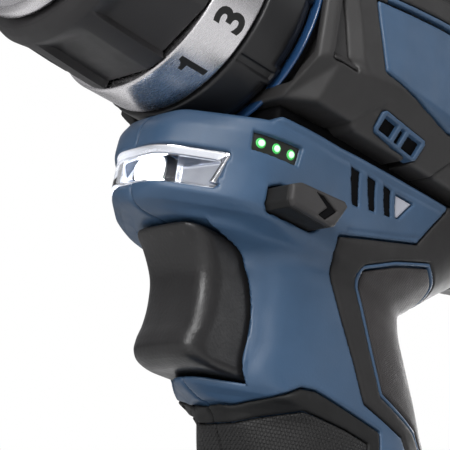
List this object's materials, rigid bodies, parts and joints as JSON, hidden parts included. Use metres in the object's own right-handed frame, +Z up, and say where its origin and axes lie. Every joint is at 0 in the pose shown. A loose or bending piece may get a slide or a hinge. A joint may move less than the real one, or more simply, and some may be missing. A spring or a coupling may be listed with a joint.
{
  "type": "cordless drill",
  "caption": "Pistol-grip cordless drill driver: keyless chuck, numbered torque ring, trigger, work light and slide-in battery.",
  "frame": {"origin": "middle of the battery's flat underside", "axes": "+Z up, chuck points to -X, operator's left is -Y"},
  "size_m": [0.162, 0.076, 0.231],
  "materials": {
    "blue_housing": "satin moulded plastic with a fine spark-eroded grain",
    "grip_rubber": "soft moulded rubber, hexagon and dotted texture",
    "bumper_rubber": "firm faceted rubber",
    "black_plastic": "satin black",
    "grey_plastic": "satin dark grey",
    "silver_ring": "satin silver, fine brushing round the ring",
    "steel": "machined steel",
    "screw_steel": "black oxide",
    "copper_winding": "enamelled copper wire",
    "clear_lens": "clear polished plastic",
    "lamp": "lit white lamp on its board",
    "gauge": "lit green lights on a dark board",
    "circuit_board": "circuit board",
    "cell_wrap": "shrink wrap"
  },
  "bodies": {
    "housing": {"housing_left": "blue_housing", "housing_right": "blue_housing", "grip_rubber_left": "grip_rubber", "grip_rubber_right": "grip_rubber", "side_panel_left": "blue_housing", "side_panel_right": "blue_housing", "front_bumper": "bumper_rubber", "rear_cap": "black_plastic", "housing_screw_1": "screw_steel", "housing_screw_2": "screw_steel", "housing_screw_3": "screw_steel", "housing_screw_4": "screw_steel", "housing_screw_5": "screw_steel", "work_light_lens": "clear_lens", "work_light": "lamp", "battery_gauge": "gauge", "trigger_switch": "black_plastic", "motor_can": "steel", "motor_stator": "copper_winding", "motor_front_bearing": "steel", "motor_rear_bearing": "steel", "gear_case": "grey_plastic", "ring_gear": "steel", "spindle_bearing": "steel", "accent_ring": "blue_housing", "controller_board": "circuit_board", "terminal_block": "black_plastic", "clutch_spring": "steel"},
    "trigger": {"trigger": "black_plastic", "switch_plunger": "steel"},
    "direction_button": {"direction_button": "black_plastic"},
    "speed_selector": {"speed_selector": "black_plastic"},
    "motor_rotor": {"motor_rotor": "steel", "motor_shaft": "steel", "cooling_fan": "grey_plastic", "motor_pinion": "steel"},
    "spindle": {"spindle": "steel", "planet_carrier": "steel", "chuck_body": "steel"},
    "planet_1": {"planet_gear_1": "steel"},
    "planet_2": {"planet_gear_2": "steel"},
    "planet_3": {"planet_gear_3": "steel"},
    "chuck_sleeve": {"chuck_sleeve": "black_plastic", "nose_ring": "silver_ring"},
    "jaw_1": {"chuck_jaw_1": "steel"},
    "jaw_2": {"chuck_jaw_2": "steel"},
    "jaw_3": {"chuck_jaw_3": "steel"},
    "torque_collar": {"torque_collar": "black_plastic", "numbered_ring": "silver_ring"},
    "battery": {"battery_case": "black_plastic", "battery_cover": "black_plastic", "cell_board": "circuit_board", "battery_cell_1": "cell_wrap", "battery_cell_2": "cell_wrap", "battery_cell_3": "cell_wrap", "battery_cell_4": "cell_wrap", "battery_cell_5": "cell_wrap"},
    "battery_release": {"battery_release": "grey_plastic"}
  },
  "joints": [
    {"name": "spindle_spin", "type": "hinge", "parent": "housing", "child": "spindle", "pos_m": [-0.057, 0, 0.195], "axis": [1, 0, 0], "continuous": true},
    {"name": "motor_spin", "type": "hinge", "parent": "housing", "child": "motor_rotor", "pos_m": [-0.057, 0, 0.195], "axis": [1, 0, 0], "continuous": true},
    {"name": "planet_1_spin", "type": "hinge", "parent": "spindle", "child": "planet_1", "pos_m": [-0.057, 0, 0.183], "axis": [1, 0, 0], "continuous": true},
    {"name": "planet_2_spin", "type": "hinge", "parent": "spindle", "child": "planet_2", "pos_m": [-0.057, 0.01039, 0.201], "axis": [1, 0, 0], "continuous": true},
    {"name": "planet_3_spin", "type": "hinge", "parent": "spindle", "child": "planet_3", "pos_m": [-0.057, -0.01039, 0.201], "axis": [1, 0, 0], "continuous": true},
    {"name": "chuck_sleeve_turn", "type": "hinge", "parent": "spindle", "child": "chuck_sleeve", "pos_m": [-0.057, 0, 0.195], "axis": [1, 0, 0], "range_deg": [0, 1080]},
    {"name": "jaw_1_slide", "type": "slide", "parent": "spindle", "child": "jaw_1", "axis": [-0.9397, 0, -0.342], "range_m": [0, 0.012]},
    {"name": "jaw_2_slide", "type": "slide", "parent": "spindle", "child": "jaw_2", "axis": [-0.9397, -0.2962, 0.171], "range_m": [0, 0.0122]},
    {"name": "jaw_3_slide", "type": "slide", "parent": "spindle", "child": "jaw_3", "axis": [-0.9397, 0.2962, 0.171], "range_m": [0, 0.0122]},
    {"name": "torque_collar_turn", "type": "hinge", "parent": "housing", "child": "torque_collar", "pos_m": [-0.057, 0, 0.195], "axis": [-1, 0, 0], "range_deg": [-130, 148]},
    {"name": "trigger_press", "type": "slide", "parent": "housing", "child": "trigger", "axis": [1, 0, 0], "range_m": [0, 0.007], "stiffness_N_per_m": 600, "springref_m": -0.003},
    {"name": "direction_slide", "type": "slide", "parent": "housing", "child": "direction_button", "axis": [0, 1, 0], "range_m": [0, 0.006]},
    {"name": "speed_slide", "type": "slide", "parent": "housing", "child": "speed_selector", "axis": [1, 0, 0], "range_m": [0, 0.009]},
    {"name": "battery_slide", "type": "slide", "parent": "housing", "child": "battery", "axis": [-1, 0, 0], "range_m": [0, 0.1]},
    {"name": "battery_release_press", "type": "slide", "parent": "battery", "child": "battery_release", "axis": [1, 0, 0], "range_m": [0, 0.003], "stiffness_N_per_m": 500, "springref_m": -0.002}
  ],
  "couplings": [
    {"joint": "motor_spin", "follows": "spindle_spin", "ratio": 5},
    {"joint": "planet_1_spin", "follows": "spindle_spin", "ratio": -2.6667},
    {"joint": "planet_2_spin", "follows": "spindle_spin", "ratio": -2.6667},
    {"joint": "planet_3_spin", "follows": "spindle_spin", "ratio": -2.6667},
    {"joint": "jaw_2_slide", "follows": "jaw_1_slide", "ratio": 1},
    {"joint": "jaw_3_slide", "follows": "jaw_1_slide", "ratio": 1},
    {"joint": "chuck_sleeve_turn", "follows": "jaw_1_slide", "rad_per_m": 1570.8}
  ]
}
